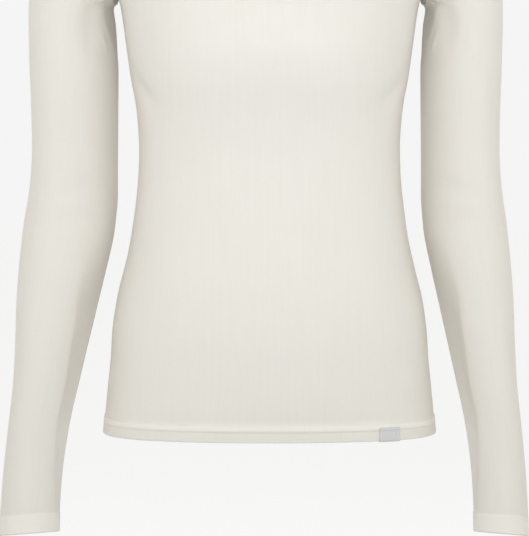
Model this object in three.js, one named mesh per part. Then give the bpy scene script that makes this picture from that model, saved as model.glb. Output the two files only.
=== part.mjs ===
// A women's long-sleeved thermal base layer top, hollow and filled out as it is when worn.
// Millimetres, +Z up. The front faces -Y and the wearer's left is towards +X. The origin lies
// midway between the two points where a shoulder seam meets the neck seam.

import * as THREE from "three";

// Cloth and seams
const CLOTH = 1.4; // thickness of the knit
const SEAM_GAP = 0.3; // left between two pieces at a seam
// The hem is turned up, so it stands out by double on both sides, and by proud on the raised
// ridge along its top, which rises and falls over edge.
const HEM = { height: 16, ridge: 5.5, edge: 1.2, double: 0.4, proud: 1.1 };
const RIDGE_FOOT = HEM.height - HEM.ridge;
const CUFF = { height: 18, double: 0.4 }; // turned-up sleeve end
// crest is the share of its thickness that the neckband keeps at its round top edge, and upright
// is how far it turns from the slope of the shoulders to standing straight up.
const NECKBAND = { height: 17, thick: 2.6, crest: 0.45, upright: 0.5 };
const LABEL = { share: 0.541, width: 20, height: 14.2, thick: 1 }; // share of the way from centre front to side

// How finely each piece is cut into faces
const PANEL_COLUMNS = 22;
const TRUNK_STEP = 27; // height of a row on the plain part of the trunk
const ARMHOLE_STEPS = 12; // rows of a panel beside the armhole, and columns of half a sleeve
const SHOULDER_STEPS = 4;
const SLEEVE_STEP = 27;
const NECK_COLUMNS = 48;

// The trunk and the shoulders as rings, from the hem up to the neck seam. side, fore and aft are
// the heights of a ring at its sides, centre front and centre back. half is half its width, front
// and back are its depths from the plane of the side seams, and square is how boxy it is.
const TRUNK = tableOf(
  ["side", "fore", "aft", "half", "front", "back", "square"],
  [
    [-602.5, -602.5, -602.5, 155.1, 93, 112, 2.9],
    [-570, -570, -570, 151.7, 96, 110, 2.75],
    [-536, -536, -536, 148.2, 98, 104, 2.65],
    [-508, -508, -508, 146.2, 98, 98, 2.6],
    [-480, -480, -480, 142.4, 96.5, 91, 2.55],
    [-452, -452, -452, 135.5, 94, 85, 2.5],
    [-424, -424, -424, 129.2, 91, 80, 2.45],
    [-396, -396, -396, 125.1, 88, 77, 2.4],
    [-368, -368, -368, 122.1, 87, 76, 2.35],
    [-340, -340, -340, 121, 89, 78, 2.35],
    [-312, -312, -312, 122.4, 96, 82, 2.35],
    [-294, -294, -294, 124.6, 103.5, 86, 2.35],
    [-275, -275, -275, 128.2, 112, 90, 2.35],
    [-247, -248, -247, 132.1, 120, 95, 2.35],
    [-220, -224, -219, 135.7, 119.5, 98, 2.35],
    [-206.5, -213, -205, 138, 118, 99.5, 2.35],
    [-190, -201, -188, 144, 115.5, 100.5, 2.3],
    [-170, -188, -167, 153, 112, 101, 2.3],
    [-148, -174, -146, 163, 107.5, 99.5, 2.25],
    [-127, -161, -126, 172, 103, 97, 2.2],
    [-103, -148, -105, 180, 98, 92, 2.1],
    [-80, -136, -86, 186, 94, 86, 2],
    [-62, -127, -72, 188, 91, 80, 1.9],
    [-48, -119, -60, 184, 88.5, 75, 1.85],
    [-35, -110, -48, 158, 85.5, 70, 1.85],
    [-19, -98, -34, 119, 81, 63, 1.9],
    [0, -82, -18, 75, 76, 56, 2.05],
  ],
);
const TILT_CURVE = 1.6; // how a tilted ring leaves its side height on the way to the centre line
const RING_SAMPLES = 48; // pieces into which a quarter of a ring is cut to measure its cloth

// The armhole is this oval when seen from the side.
const ARMHOLE = { mid: -125.5, tall: 77.5, fore: 52, aft: 56, square: 2.1 };

// A sleeve as rings, from below the armhole to the cuff. inner is how far the ring's inner edge is
// from the centre of the body, across its width, fore the Y of its middle, deep its size from
// front to back, dip how far its outer edge lies below its inner edge, and rise how far its front
// lies above its back.
const LIMB = tableOf(
  ["height", "inner", "across", "fore", "deep", "dip", "rise"],
  [
    [-226, 142.2, 77.5, 1, 97, 0, 0],
    [-257, 140.2, 79.1, 2, 95, 0, 0],
    [-294, 140.2, 78.1, 3, 92, 0, 0],
    [-340, 140.8, 76.8, 4, 88, 0, 0],
    [-368, 141, 78.2, 4, 87, 0.5, 1],
    [-386, 141.1, 80.4, 3, 86, 1, 2],
    [-405, 142.7, 82, 1, 86, 1.5, 4],
    [-424, 145.2, 81.8, -2, 85, 2, 5],
    [-452, 151.6, 78.2, -6, 83, 2, 6],
    [-480, 158.3, 73.5, -10, 80, 2.5, 7],
    [-517, 167.2, 65.8, -16, 75, 3, 8],
    [-555, 176.1, 59, -22, 68, 3.5, 9],
    [-592, 184.6, 54.4, -28, 62, 4, 9],
    [-630, 190.4, 52.5, -34, 58, 4, 9],
    [-664, 193, 52.4, -40, 57, 4, 9],
    [-693, 193.8, 52.8, -45, 57, 4.2, 9],
  ],
);
const ELBOW = -380; // height from which a forearm is turned in
// width is the share of the table's width, and tuck is how much nearer the trunk the cuff hangs.
const SLEEVES = [
  { name: "sleeve_right", side: -1, width: 1.047, tuck: 0 },
  { name: "sleeve_left", side: 1, width: 0.953, tuck: 5.5 },
];
// How the cloth leaves the armhole, at its top and at the underarm: the length of its first
// stretch as a share of the way to the upper arm, and its lift out of the trunk's own surface,
// with what its front and back have besides.
const HEAD = {
  topPull: 0.48,
  underPull: 1.2,
  topLift: 0.36,
  underLift: 2.5,
  broadLift: 0.55,
  endPull: 0.95,
};
const HEAD_ROWS = [0, 0.08, 0.19, 0.33, 0.49, 0.66, 0.83];

// The largest folds. On the trunk, up is the height above the hem along the side and share the
// place between centre and side; on a sleeve, down is the distance below the top ring and turn
// the angle from its outer line towards its front. Each lies at an angle to the level.
const TRUNK_FOLDS = [
  { face: -1, up: 322, share: 0.72, angle: 38, long: 42, wide: 11, deep: 2.2 },
  { face: -1, up: 322, share: -0.72, angle: -38, long: 42, wide: 11, deep: 2.2 },
  { face: 1, up: 262, share: 0.1, angle: 4, long: 120, wide: 13, deep: 2.4 },
  { face: 1, up: 226, share: -0.12, angle: -5, long: 105, wide: 14, deep: 2 },
  { face: 1, up: 398, share: 0.55, angle: 50, long: 60, wide: 12, deep: 1.8 },
  { face: 1, up: 398, share: -0.55, angle: -50, long: 60, wide: 12, deep: 1.8 },
];
const SLEEVE_FOLDS = [
  { down: -6, turn: 138, angle: -52, long: 34, wide: 5, deep: 2.4 },
  { down: 14, turn: 152, angle: -60, long: 26, wide: 5, deep: 2 },
  { down: 150, turn: 118, angle: 12, long: 46, wide: 9, deep: 1.8 },
  { down: 178, turn: 112, angle: -8, long: 42, wide: 9, deep: 1.6 },
  { down: 8, turn: 214, angle: 50, long: 36, wide: 6, deep: 2 },
];

const COLOUR = { cloth: 0xebe7dd, label: 0xc4c4c6 };

// A table's columns by name.
function tableOf(names, rows) {
  return Object.fromEntries(names.map((name, i) => [name, rows.map((row) => row[i])]));
}

// A smooth curve through the values at the places, which rise or fall steadily.
function curveAt(places, values, at) {
  const last = places.length - 1;
  const rising = places[last] > places[0] ? 1 : -1;
  let i = 0;
  while (i < last - 1 && rising * (at - places[i + 1]) > 0) i++;
  const slope = (k) => {
    const a = Math.max(k - 1, 0);
    const b = Math.min(k + 1, last);
    return (values[b] - values[a]) / (places[b] - places[a]);
  };
  const span = places[i + 1] - places[i];
  const t = (at - places[i]) / span;
  return hermite(values[i], slope(i) * span, values[i + 1], slope(i + 1) * span, t);
}

function hermite(start, startPull, end, endPull, t) {
  const t2 = t * t;
  const t3 = t2 * t;
  return (
    (2 * t3 - 3 * t2 + 1) * start +
    (t3 - 2 * t2 + t) * startPull +
    (3 * t2 - 2 * t3) * end +
    (t3 - t2) * endPull
  );
}

// Where a test turns from false at low to true at high.
function turningPoint(low, high, test) {
  for (let i = 0; i < 40; i++) {
    const middle = (low + high) / 2;
    if (test(middle)) high = middle;
    else low = middle;
  }
  return (low + high) / 2;
}

const smooth = (t) => {
  const c = THREE.MathUtils.clamp(t, 0, 1);
  return c * c * (3 - 2 * c);
};

// A soft trough: how deep it is at a place that lies across and up from its middle.
function troughAt(fold, across, up) {
  const angle = THREE.MathUtils.degToRad(fold.angle);
  const along = (across * Math.cos(angle) + up * Math.sin(angle)) / fold.long;
  const aside = (up * Math.cos(angle) - across * Math.sin(angle)) / fold.wide;
  return Math.abs(along) < 1 ? fold.deep * (1 - along ** 2) ** 2 * Math.exp(-(aside ** 2)) : 0;
}

// Height up the side of the trunk from the hem, along its cloth, at each row of the table.
const UP = TRUNK.side.reduce((up, side, i) => {
  const step = i ? Math.hypot(side - TRUNK.side[i - 1], TRUNK.half[i] - TRUNK.half[i - 1]) : 0;
  return [...up, (up[i - 1] ?? 0) + step];
}, []);
const UP_NECK = UP.at(-1);
const upAtSide = (side) => turningPoint(0, UP_NECK, (up) => curveAt(UP, TRUNK.side, up) > side);
const UP_UNDERARM = upAtSide(ARMHOLE.mid - ARMHOLE.tall);
const UP_SHOULDER = upAtSide(ARMHOLE.mid + ARMHOLE.tall);

// The quarter of a ring from the centre line to the side, in even steps of its turn.
function quarterRing(half, depth, square) {
  const radius = (turn) =>
    ((Math.cos(turn) / depth) ** square + (Math.sin(turn) / half) ** square) ** (-1 / square);
  const turns = Array.from({ length: RING_SAMPLES + 1 }, (_, i) => (i / RING_SAMPLES) * (Math.PI / 2));
  turns[RING_SAMPLES] -= 1e-9;
  const girths = [0];
  for (let i = 1; i < turns.length; i++) {
    const [a, b] = [turns[i - 1], turns[i]];
    const [ra, rb] = [radius(a), radius(b)];
    const step = Math.hypot(rb * Math.sin(b) - ra * Math.sin(a), rb * Math.cos(b) - ra * Math.cos(a));
    girths.push(girths[i - 1] + step);
  }
  return { radius, turns, girths, girth: girths[RING_SAMPLES] };
}

function ringAt(face, up) {
  const column = (name) => curveAt(UP, TRUNK[name], up);
  const side = column("side");
  const quarter = quarterRing(column("half"), column(face < 0 ? "front" : "back"), column("square"));
  return { side, centre: column(face < 0 ? "fore" : "aft"), ...quarter };
}

// A point of the trunk's surface. face is -1 on the front and 1 on the back; share runs from 0 on
// the centre line to 1 at the wearer's left side and to -1 at the right, in even steps of cloth.
function trunkPoint(face, up, share, ring = ringAt(face, up)) {
  const girth = Math.min(Math.abs(share), 1) * ring.girth;
  let i = 0;
  while (i < RING_SAMPLES - 1 && ring.girths[i + 1] < girth) i++;
  const part = (girth - ring.girths[i]) / (ring.girths[i + 1] - ring.girths[i]);
  const turn = ring.turns[i] + part * (ring.turns[i + 1] - ring.turns[i]);
  const radius = ring.radius(turn);
  const lean = Math.cos(turn) ** TILT_CURVE;
  return new THREE.Vector3(
    Math.sign(share) * radius * Math.sin(turn),
    face * radius * Math.cos(turn),
    ring.side + (ring.centre - ring.side) * lean,
  );
}

// The way out of the surface through point(a, b), given a way that is roughly outwards.
function wayOut(point, a, stepA, b, stepB, outwards) {
  const alongA = point(a + stepA, b).sub(point(a - stepA, b));
  const alongB = point(a, b + stepB).sub(point(a, b - stepB));
  const normal = alongA.cross(alongB).normalize();
  return normal.dot(outwards) < 0 ? normal.negate() : normal;
}

function trunkWayOut(face, up, share) {
  const inside = THREE.MathUtils.clamp(up, 0.5, UP_NECK - 0.5);
  const held = THREE.MathUtils.clamp(share, -0.999, 0.999);
  const here = trunkPoint(face, inside, held);
  const outwards = new THREE.Vector3(here.x / 2, here.y, 10);
  return wayOut((u, s) => trunkPoint(face, u, s), inside, 0.4, held, 0.0008, outwards);
}

// How far out along its ring a panel reaches: to the side, or to the edge of the armhole.
function panelReach(face, up) {
  const reach = face < 0 ? ARMHOLE.fore : ARMHOLE.aft;
  const ring = ringAt(face, up);
  const inHole = (share) => {
    const p = trunkPoint(face, up, share, ring);
    const tall = Math.abs((p.z - ARMHOLE.mid) / ARMHOLE.tall) ** ARMHOLE.square;
    return tall + Math.abs(p.y / reach) ** ARMHOLE.square < 1;
  };
  return inHole(1) ? turningPoint(0, 1, inHole) : 1;
}

function trunkFold(face, up, share, girth) {
  const edge = smooth((1 - Math.abs(share)) / 0.12);
  return TRUNK_FOLDS.filter((fold) => fold.face === face).reduce(
    (deep, fold) => deep + edge * troughAt(fold, (share - fold.share) * girth, up - fold.up),
    0,
  );
}

// How far the turned-up hem stands out of the plain cloth.
function hemProud(up) {
  if (up > HEM.height) return 0;
  return up > RIDGE_FOOT + HEM.edge / 2 ? HEM.proud : HEM.double;
}

// A wall of cloth as one closed body, from rows of { outer, inner } points. A round wall joins its
// last column to its first.
function clothWall(rows, isRound) {
  const columns = rows[0].length;
  const points = rows.flatMap((row) => row.flatMap(({ outer, inner }) => [outer, inner]));
  const outer = (r, c) => 2 * (r * columns + (c % columns));
  const inner = (r, c) => outer(r, c) + 1;
  const faces = [];
  const quad = (a, b, c, d) => faces.push(a, b, c, a, c, d);
  const strips = isRound ? columns : columns - 1;
  const top = rows.length - 1;
  for (let c = 0; c < strips; c++) {
    for (let r = 0; r < top; r++) {
      quad(outer(r, c), outer(r, c + 1), outer(r + 1, c + 1), outer(r + 1, c));
      quad(inner(r, c), inner(r + 1, c), inner(r + 1, c + 1), inner(r, c + 1));
    }
    quad(inner(0, c), inner(0, c + 1), outer(0, c + 1), outer(0, c));
    quad(outer(top, c), outer(top, c + 1), inner(top, c + 1), inner(top, c));
  }
  for (let r = 0; r < top && !isRound; r++) {
    quad(outer(r, 0), outer(r + 1, 0), inner(r + 1, 0), inner(r, 0));
    quad(inner(r, strips), inner(r + 1, strips), outer(r + 1, strips), outer(r, strips));
  }
  let volume = 0;
  for (let i = 0; i < faces.length; i += 3) {
    const [a, b, c] = [0, 1, 2].map((k) => points[faces[i + k]]);
    volume += a.dot(new THREE.Vector3().crossVectors(b, c));
  }
  if (volume < 0) faces.reverse();
  return new THREE.BufferGeometry().setFromPoints(points).setIndex(faces);
}

// A cloth point and the point behind it, from a place on the surface, its way out, and how far
// the cloth stands proud of the surface and lies behind it.
const through = (place, normal, proud, behind) => ({
  outer: place.clone().addScaledVector(normal, proud),
  inner: place.clone().addScaledVector(normal, -behind),
});

// The rows of a panel, as heights up from the hem.
function panelRows() {
  const ridge = [RIDGE_FOOT, RIDGE_FOOT + HEM.edge, HEM.height - HEM.edge, HEM.height + HEM.edge / 2];
  const start = HEM.height + HEM.ridge;
  const plain = Math.round((UP_UNDERARM - start) / TRUNK_STEP);
  const trunk = Array.from({ length: plain }, (_, i) => start + ((UP_UNDERARM - start) * i) / plain);
  const armhole = Array.from({ length: ARMHOLE_STEPS + 1 }, (_, i) => {
    return armholeUp(180 - (180 * i) / ARMHOLE_STEPS);
  });
  const shoulder = Array.from({ length: SHOULDER_STEPS }, (_, i) => {
    return UP_SHOULDER + ((UP_NECK - UP_SHOULDER) * (i + 1)) / SHOULDER_STEPS;
  });
  return [0, ...ridge, ...trunk, ...armhole, ...shoulder];
}

// The height up the trunk at which the armhole has turned so far from its top.
function armholeUp(turn) {
  return upAtSide(ARMHOLE.mid + ARMHOLE.tall * Math.cos(THREE.MathUtils.degToRad(turn)));
}

function panelGeometry(face) {
  const rows = panelRows().map((up) => {
    const ring = ringAt(face, up);
    const reach = panelReach(face, up) - SEAM_GAP / 2 / ring.girth;
    return Array.from({ length: PANEL_COLUMNS + 1 }, (_, c) => {
      const share = reach * ((2 * c) / PANEL_COLUMNS - 1);
      const place = trunkPoint(face, up, share, ring);
      const fold = trunkFold(face, up, share, ring.girth);
      const behind = up < HEM.height ? CLOTH + HEM.double : CLOTH;
      return through(place, trunkWayOut(face, up, share), hemProud(up) - fold, behind + fold);
    });
  });
  return clothWall(rows, false);
}

// The edge of the armhole on the wearer's left. turn runs from the shoulder over the front.
function armholeEdge(turn) {
  const face = Math.sin(turn) >= 0 ? -1 : 1;
  const up = armholeUp(THREE.MathUtils.radToDeg(turn));
  const share = panelReach(face, up);
  return { place: trunkPoint(face, up, share), normal: trunkWayOut(face, up, share) };
}

// A point of a sleeve's surface below the armhole, on the wearer's left.
function limbPoint(sleeve, height, turn) {
  const column = (name) => curveAt(LIMB.height, LIMB[name], height);
  const across = column("across") * sleeve.width;
  const tuck = sleeve.tuck * Math.max((ELBOW - height) / (ELBOW - LIMB.height.at(-1)), 0);
  return new THREE.Vector3(
    column("inner") - tuck + (across / 2) * (1 + Math.cos(turn)),
    column("fore") - (column("deep") / 2) * Math.sin(turn),
    height - (column("dip") / 2) * Math.cos(turn) + (column("rise") / 2) * Math.sin(turn),
  );
}

const LIMB_TOP = LIMB.height[0];
const LIMB_LENGTH = LIMB_TOP - LIMB.height.at(-1);

// The first stretch of the sleeve at this turn: where it leaves the armhole and meets the limb,
// and how it is pulled at both ends.
function headStretch(sleeve, turn) {
  const { place, normal } = armholeEdge(turn);
  const edge = armholeEdge(turn + 0.02).place.sub(armholeEdge(turn - 0.02).place).normalize();
  const across = new THREE.Vector3().crossVectors(normal, edge).normalize();
  if (across.x * Math.sign(1 + Math.cos(turn)) < 0) across.negate();
  const under = (1 - Math.cos(turn)) / 2;
  const broad = HEAD.broadLift * Math.sin(turn) ** 2;
  const lift = HEAD.topLift + (HEAD.underLift - HEAD.topLift) * under ** 5 + broad;
  const leave = across.addScaledVector(normal, lift).normalize();
  const end = limbPoint(sleeve, LIMB_TOP, turn);
  const arrive = end.clone().sub(limbPoint(sleeve, LIMB_TOP + 1, turn)).normalize();
  const far = end.distanceTo(place);
  const pull = far * (HEAD.topPull + (HEAD.underPull - HEAD.topPull) * under ** 4);
  place.addScaledVector(leave, SEAM_GAP);
  return { place, leave: leave.multiplyScalar(pull), end, arrive: arrive.multiplyScalar(far * HEAD.endPull) };
}

// A point of a sleeve's surface. down is 0 to 1 from the armhole to the upper arm, and then runs
// on from 1 to 2 at the cuff.
function sleevePoint(sleeve, down, turn) {
  if (down >= 1) return limbPoint(sleeve, LIMB_TOP - (down - 1) * LIMB_LENGTH, turn);
  const { place, leave, end, arrive } = headStretch(sleeve, turn);
  const mix = (axis) => hermite(place[axis], leave[axis], end[axis], arrive[axis], down);
  return new THREE.Vector3(mix("x"), mix("y"), mix("z"));
}

function sleeveFold(place, turn) {
  const degrees = THREE.MathUtils.radToDeg(turn);
  const down = LIMB_TOP - place.z;
  const radius = curveAt(LIMB.height, LIMB.deep, place.z) / 2;
  return SLEEVE_FOLDS.reduce((deep, fold) => {
    const across = THREE.MathUtils.degToRad(degrees - fold.turn) * radius;
    return deep + troughAt(fold, across, fold.down - down);
  }, 0);
}

function sleeveGeometry(sleeve) {
  const rowCount = Math.round((LIMB_LENGTH - CUFF.height) / SLEEVE_STEP);
  const cuffDown = 2 - CUFF.height / LIMB_LENGTH;
  const limbRows = Array.from({ length: rowCount }, (_, i) => 1 + ((cuffDown - 1) * i) / rowCount);
  const cuffRows = [cuffDown - 0.002, cuffDown + 0.002, (cuffDown + 2) / 2, 2];
  const columns = 2 * ARMHOLE_STEPS;
  const rows = [...HEAD_ROWS, ...limbRows, ...cuffRows].map((down) =>
    Array.from({ length: columns }, (_, c) => {
      const turn = (2 * Math.PI * c) / columns;
      const place = sleevePoint(sleeve, down, turn);
      const held = THREE.MathUtils.clamp(down, 0.01, 1.998);
      const outwards = new THREE.Vector3(Math.cos(turn), -Math.sin(turn), down < 0.5 ? Math.cos(turn) : 0);
      const normal = wayOut((d, t) => sleevePoint(sleeve, d, t), held, 0.002, turn, 0.01, outwards);
      const double = down > cuffDown ? CUFF.double : 0;
      const fold = down > 0 ? sleeveFold(place, turn) * smooth(down / 0.3) : 0;
      const cloth = through(place, normal, double - fold, CLOTH + double + fold);
      for (const point of Object.values(cloth)) point.x *= sleeve.side;
      return cloth;
    }),
  );
  return clothWall(rows, true);
}

// The neck seam at this share of the way round it, from the centre front over the wearer's left.
function neckPoint(round, up = UP_NECK) {
  const turned = (round % 1) * 4;
  const face = turned < 1 || turned > 3 ? -1 : 1;
  const share = turned < 1 ? turned : turned < 3 ? 2 - turned : turned - 4;
  return trunkPoint(face, up, share);
}

function neckbandGeometry() {
  const rows = [0, 0.3, 0.62, 0.88, 1].map((height) =>
    Array.from({ length: NECK_COLUMNS }, (_, c) => {
      const round = c / NECK_COLUMNS;
      const seam = neckPoint(round);
      const rise = seam.clone().sub(neckPoint(round, UP_NECK - 2)).normalize();
      rise.lerp(new THREE.Vector3(0, 0, 1), NECKBAND.upright).normalize();
      const around = neckPoint(round + 0.004).sub(neckPoint(round + 1 - 0.004));
      const normal = around.cross(rise).normalize();
      const place = seam.addScaledVector(rise, 2 * SEAM_GAP + height * NECKBAND.height);
      const thick = NECKBAND.thick * (height < 1 ? 1 : NECKBAND.crest);
      return through(place, normal, thick / 2, thick / 2);
    }),
  );
  return clothWall(rows, true);
}

// The label lies on the front of the hem, and follows its ridge.
function labelGeometry() {
  const columns = 5;
  const girth = ringAt(-1, 0).girth;
  const heights = [SEAM_GAP, RIDGE_FOOT, RIDGE_FOOT + HEM.edge, LABEL.height];
  const rows = heights.map((up) =>
    Array.from({ length: columns + 1 }, (_, c) => {
      const share = LABEL.share + (LABEL.width / girth) * (c / columns - 0.5);
      const off = hemProud(up) + SEAM_GAP;
      return through(trunkPoint(-1, up, share), trunkWayOut(-1, up, share), off + LABEL.thick, -off);
    }),
  );
  return clothWall(rows, false);
}

function piece(name, geometry, colour = COLOUR.cloth) {
  const material = new THREE.MeshStandardMaterial({ color: colour, roughness: 0.9, metalness: 0 });
  const mesh = new THREE.Mesh(geometry, material);
  mesh.name = name;
  return mesh;
}

const top = new THREE.Group();
top.add(piece("front", panelGeometry(-1)));
top.add(piece("back", panelGeometry(1)));
for (const sleeve of SLEEVES) top.add(piece(sleeve.name, sleeveGeometry(sleeve)));
top.add(piece("neckband", neckbandGeometry()));
top.add(piece("hem_label", labelGeometry(), COLOUR.label));

export default top;
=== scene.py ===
# A women's long-sleeved thermal base layer top in ivory knit, filled out as it is when worn.
import math

import bpy
import numpy as np
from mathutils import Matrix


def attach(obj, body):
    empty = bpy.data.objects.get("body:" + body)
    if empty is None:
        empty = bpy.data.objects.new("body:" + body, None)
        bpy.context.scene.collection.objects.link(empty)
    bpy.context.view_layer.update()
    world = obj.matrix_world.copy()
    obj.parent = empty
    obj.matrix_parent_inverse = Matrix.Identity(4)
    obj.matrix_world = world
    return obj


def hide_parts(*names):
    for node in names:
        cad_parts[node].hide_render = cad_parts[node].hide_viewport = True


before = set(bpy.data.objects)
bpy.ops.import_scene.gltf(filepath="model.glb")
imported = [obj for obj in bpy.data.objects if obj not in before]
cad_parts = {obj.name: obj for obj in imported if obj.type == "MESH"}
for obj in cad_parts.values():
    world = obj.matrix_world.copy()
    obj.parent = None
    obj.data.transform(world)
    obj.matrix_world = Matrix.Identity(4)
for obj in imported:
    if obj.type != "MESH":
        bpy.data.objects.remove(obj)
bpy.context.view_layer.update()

# Everything below is in millimetres, in the part's own frame. Meshes are made in metres.
MM = 0.001

# The camera, from the photograph's framing of 529 by 536 pixels
FRAME_HEIGHT = 536
SENSOR = 36
PIXEL = 0.93  # size of a pixel at the side seams
DISTANCE = 2500
EYE_HEIGHT = -273
HORIZON_ROW = 77
MIDDLE_ROW = 268
MIDDLE_X = -4.65

# Cloth and seams. double is how much the turned-up cloth stands out on each side, blend the height
# over which it does so, and fade the share of a panel over which the hem's ridge dies away at the
# side seams, down to least. The neckband's round is its length, for the run of its knit.
CLOTH = 1.4  # thickness of the knit
HEM = {"height": 16, "double": 0.4, "blend": 4, "least": 0.2, "fade": 0.45}
CUFF = {"height": 18, "double": 0.4, "blend": 1.2}
NECKBAND = {"height": 17, "thick": 2.6, "upright": 0.5, "lift": 0.1, "dip": 0.8, "round": 450}
LABEL = {"share": 0.541, "width": 20, "height": 12.6, "thick": 0.7, "tail": 6, "turn": 1.2, "gap": 0.25}
LABEL_LINE = {"inset": 1.3, "half": 0.3}  # the line woven in beside the tape's edges
SEAM = {"dip": 0.7, "reach": 2.4}

# Sewing threads, and the rows of stitches: above the hem's edge, below the top of the cuffs'
# turned-up cloth and below the neck seam. first is where a row starts, and sunk how far its line
# lies below the face of the hem.
STITCH = {"pitch": 2.6, "long": 1.9, "thick": 0.34, "sides": 6, "steps": 5, "first": 0.3, "sunk": 0.02}
HEM_ROWS = (15.1, 9.9)
CUFF_ROWS = (0.8, 5.2)
NECK_ROWS = (2.6, 6.2)

# Colours, and how much paler the doubled cloth looks, with the width of that change
IVORY = (0.78, 0.75, 0.685)
THREAD = (0.82, 0.79, 0.73)
TAPE = {"ground": (0.63, 0.625, 0.62), "line": (0.73, 0.725, 0.72)}
THICK_GAIN = 1.075
THICK_FADE = 0.5

# The surround and the floor: seen is how bright the surround looks and cast how much it lights.
# The floor glows with its own light, which rises from near, under the garment, to far: the dimmer glow
# near it is a painted soft shadow. The floor is in metres.
SURROUND = {"seen": 0.913, "cast": 0.465, "colour": (1, 0.97, 0.86)}
GROUND = {"half": 12, "height": -1.1, "near": 0.52, "near_at": 0.9, "far": 0.855, "far_at": 2.2}


def table_of(names, rows):
    return {name: np.array(column, float) for name, column in zip(names, zip(*rows))}


# The trunk and the shoulders as rings, from the hem up to the neck seam. side, fore and aft are
# the heights of a ring at its sides, centre front and centre back. half is half its width, front
# and back are its depths from the plane of the side seams, and square is how boxy it is.
TRUNK = table_of(
    ["side", "fore", "aft", "half", "front", "back", "square"],
    [
        [-602.5, -603.8, -602.5, 155.1, 85.5, 112, 2.9],
        [-570, -571, -570, 151.7, 90, 110, 2.75],
        [-536, -536.5, -536, 148.2, 94.5, 104, 2.65],
        [-508, -508, -508, 146.2, 97, 98, 2.6],
        [-480, -480, -480, 142.4, 97.2, 91, 2.55],
        [-452, -452, -452, 135.5, 95.3, 85, 2.5],
        [-424, -424, -424, 129.2, 91, 80, 2.45],
        [-396, -396, -396, 125.1, 88, 77, 2.4],
        [-368, -368, -368, 122.1, 87, 76, 2.35],
        [-340, -340, -340, 121, 89, 78, 2.35],
        [-312, -312, -312, 122.4, 96, 82, 2.35],
        [-294, -294, -294, 124.6, 103.5, 86, 2.35],
        [-275, -275, -275, 128.2, 112, 90, 2.35],
        [-247, -248, -247, 132.1, 120, 95, 2.35],
        [-220, -224, -219, 135.7, 119.5, 98, 2.35],
        [-206.5, -213, -205, 138, 118, 99.5, 2.35],
        [-190, -201, -188, 144, 115.5, 100.5, 2.3],
        [-170, -188, -167, 153, 112, 101, 2.3],
        [-148, -174, -146, 163, 107.5, 99.5, 2.25],
        [-127, -161, -126, 172, 103, 97, 2.2],
        [-103, -148, -105, 180, 98, 92, 2.1],
        [-80, -136, -86, 186, 94, 86, 2],
        [-62, -127, -72, 188, 91, 80, 1.9],
        [-48, -119, -60, 184, 88.5, 75, 1.85],
        [-35, -110, -48, 158, 85.5, 70, 1.85],
        [-19, -98, -34, 119, 81, 63, 1.9],
        [0, -82, -18, 75, 76, 56, 2.05],
    ],
)
# How far the turned-up hem stands out of the plain cloth, at each height: a plain band below a
# ridge that swells out to a sharp brow, and a shallow valley above it.
HEM_SECTION = table_of(
    ["up", "proud"],
    [
        [0, 0.4],
        [8.4, 0.35],
        [9.6, 0.4],
        [10.6, 1],
        [12.2, 1.25],
        [14, 1.15],
        [15.3, 0.7],
        [16.1, -0.2],
        [17.4, -0.6],
        [20, -0.7],
        [26, -0.25],
        [32, 0],
    ],
)
TILT_CURVE = 1.6  # how a tilted ring leaves its side height on the way to the centre line
PANEL_HALF = 210  # half the width that the columns of a panel are spaced for
EDGE_STEPS = [0, 0.5, 1, 1.6, 2.3, 3.2, 4.4, 6, 8.4]  # columns beside the edges of a panel
HEM_STEPS = [0, 0.25, 0.6, 1.1, 1.8, 3, 4.5, 6, 7.4]  # rows above the hem's edge
NECK_STEPS = [6, 4.2, 2.8, 1.6, 0.8, 0]  # rows below the neck seam

# The armhole is this oval when seen from the side.
ARMHOLE = {"mid": -125.5, "tall": 77.5, "fore": 52, "aft": 56, "square": 2.1}

# A sleeve as rings, from below the armhole to the cuff. inner is how far the ring's inner edge is
# from the centre of the body, across its width, fore the Y of its middle, deep its size from
# front to back, dip how far its outer edge lies below its inner edge, rise how far its front lies
# above its back, and turned how much further out its front lies than its middle.
LIMB = table_of(
    ["height", "inner", "across", "fore", "deep", "dip", "rise", "turned"],
    [
        [-226, 142.9, 75.8, 1, 97, 0, 0, 8],
        [-257, 140.9, 77.4, 2, 95, 0, 0, 8],
        [-294, 140.9, 76.4, 3, 92, 0, 0, 8],
        [-340, 141.5, 75.1, 4, 88, 0, 0, 8.5],
        [-368, 141.7, 76.5, 4, 87, 0.5, 1, 9],
        [-386, 141.8, 78.7, 3, 86, 1, 2, 9],
        [-405, 143.4, 80.3, 1, 86, 1.5, 4, 9],
        [-424, 145.9, 80.1, -2, 85, 2, 5, 9],
        [-452, 152.3, 76.5, -6, 83, 2, 6, 9],
        [-480, 159, 71.8, -10, 80, 2.5, 7, 9],
        [-517, 167.9, 64.1, -16, 75, 3, 8, 9],
        [-555, 176.8, 57.3, -22, 68, 3.5, 9, 8],
        [-592, 185.1, 53.2, -28, 62, 4, 9, 7],
        [-630, 190.7, 51.8, -34, 58, 4, 9, 5],
        [-664, 193.3, 51.8, -40, 57, 4, 9, 4],
        [-693, 194, 52.3, -45, 57, 4.2, 9, 3.5],
    ],
)
ELBOW = -380  # height from which a forearm is turned in
# width is the share of the table's width, and tuck is how much nearer the trunk the cuff hangs.
SLEEVES = [
    {"name": "sleeve_right", "side": -1, "width": 1.047, "tuck": 0},
    {"name": "sleeve_left", "side": 1, "width": 0.953, "tuck": 5.5},
]
# How the cloth leaves the armhole, at its top and at the underarm: the length of its first
# stretch as a share of the way to the upper arm, and its lift out of the trunk's own surface,
# with what its front and back have besides.
HEAD = {
    "top_pull": 0.48,
    "under_pull": 1.2,
    "top_lift": 0.36,
    "under_lift": 2.5,
    "broad_lift": 0.55,
    "end_pull": 0.95,
}

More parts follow.
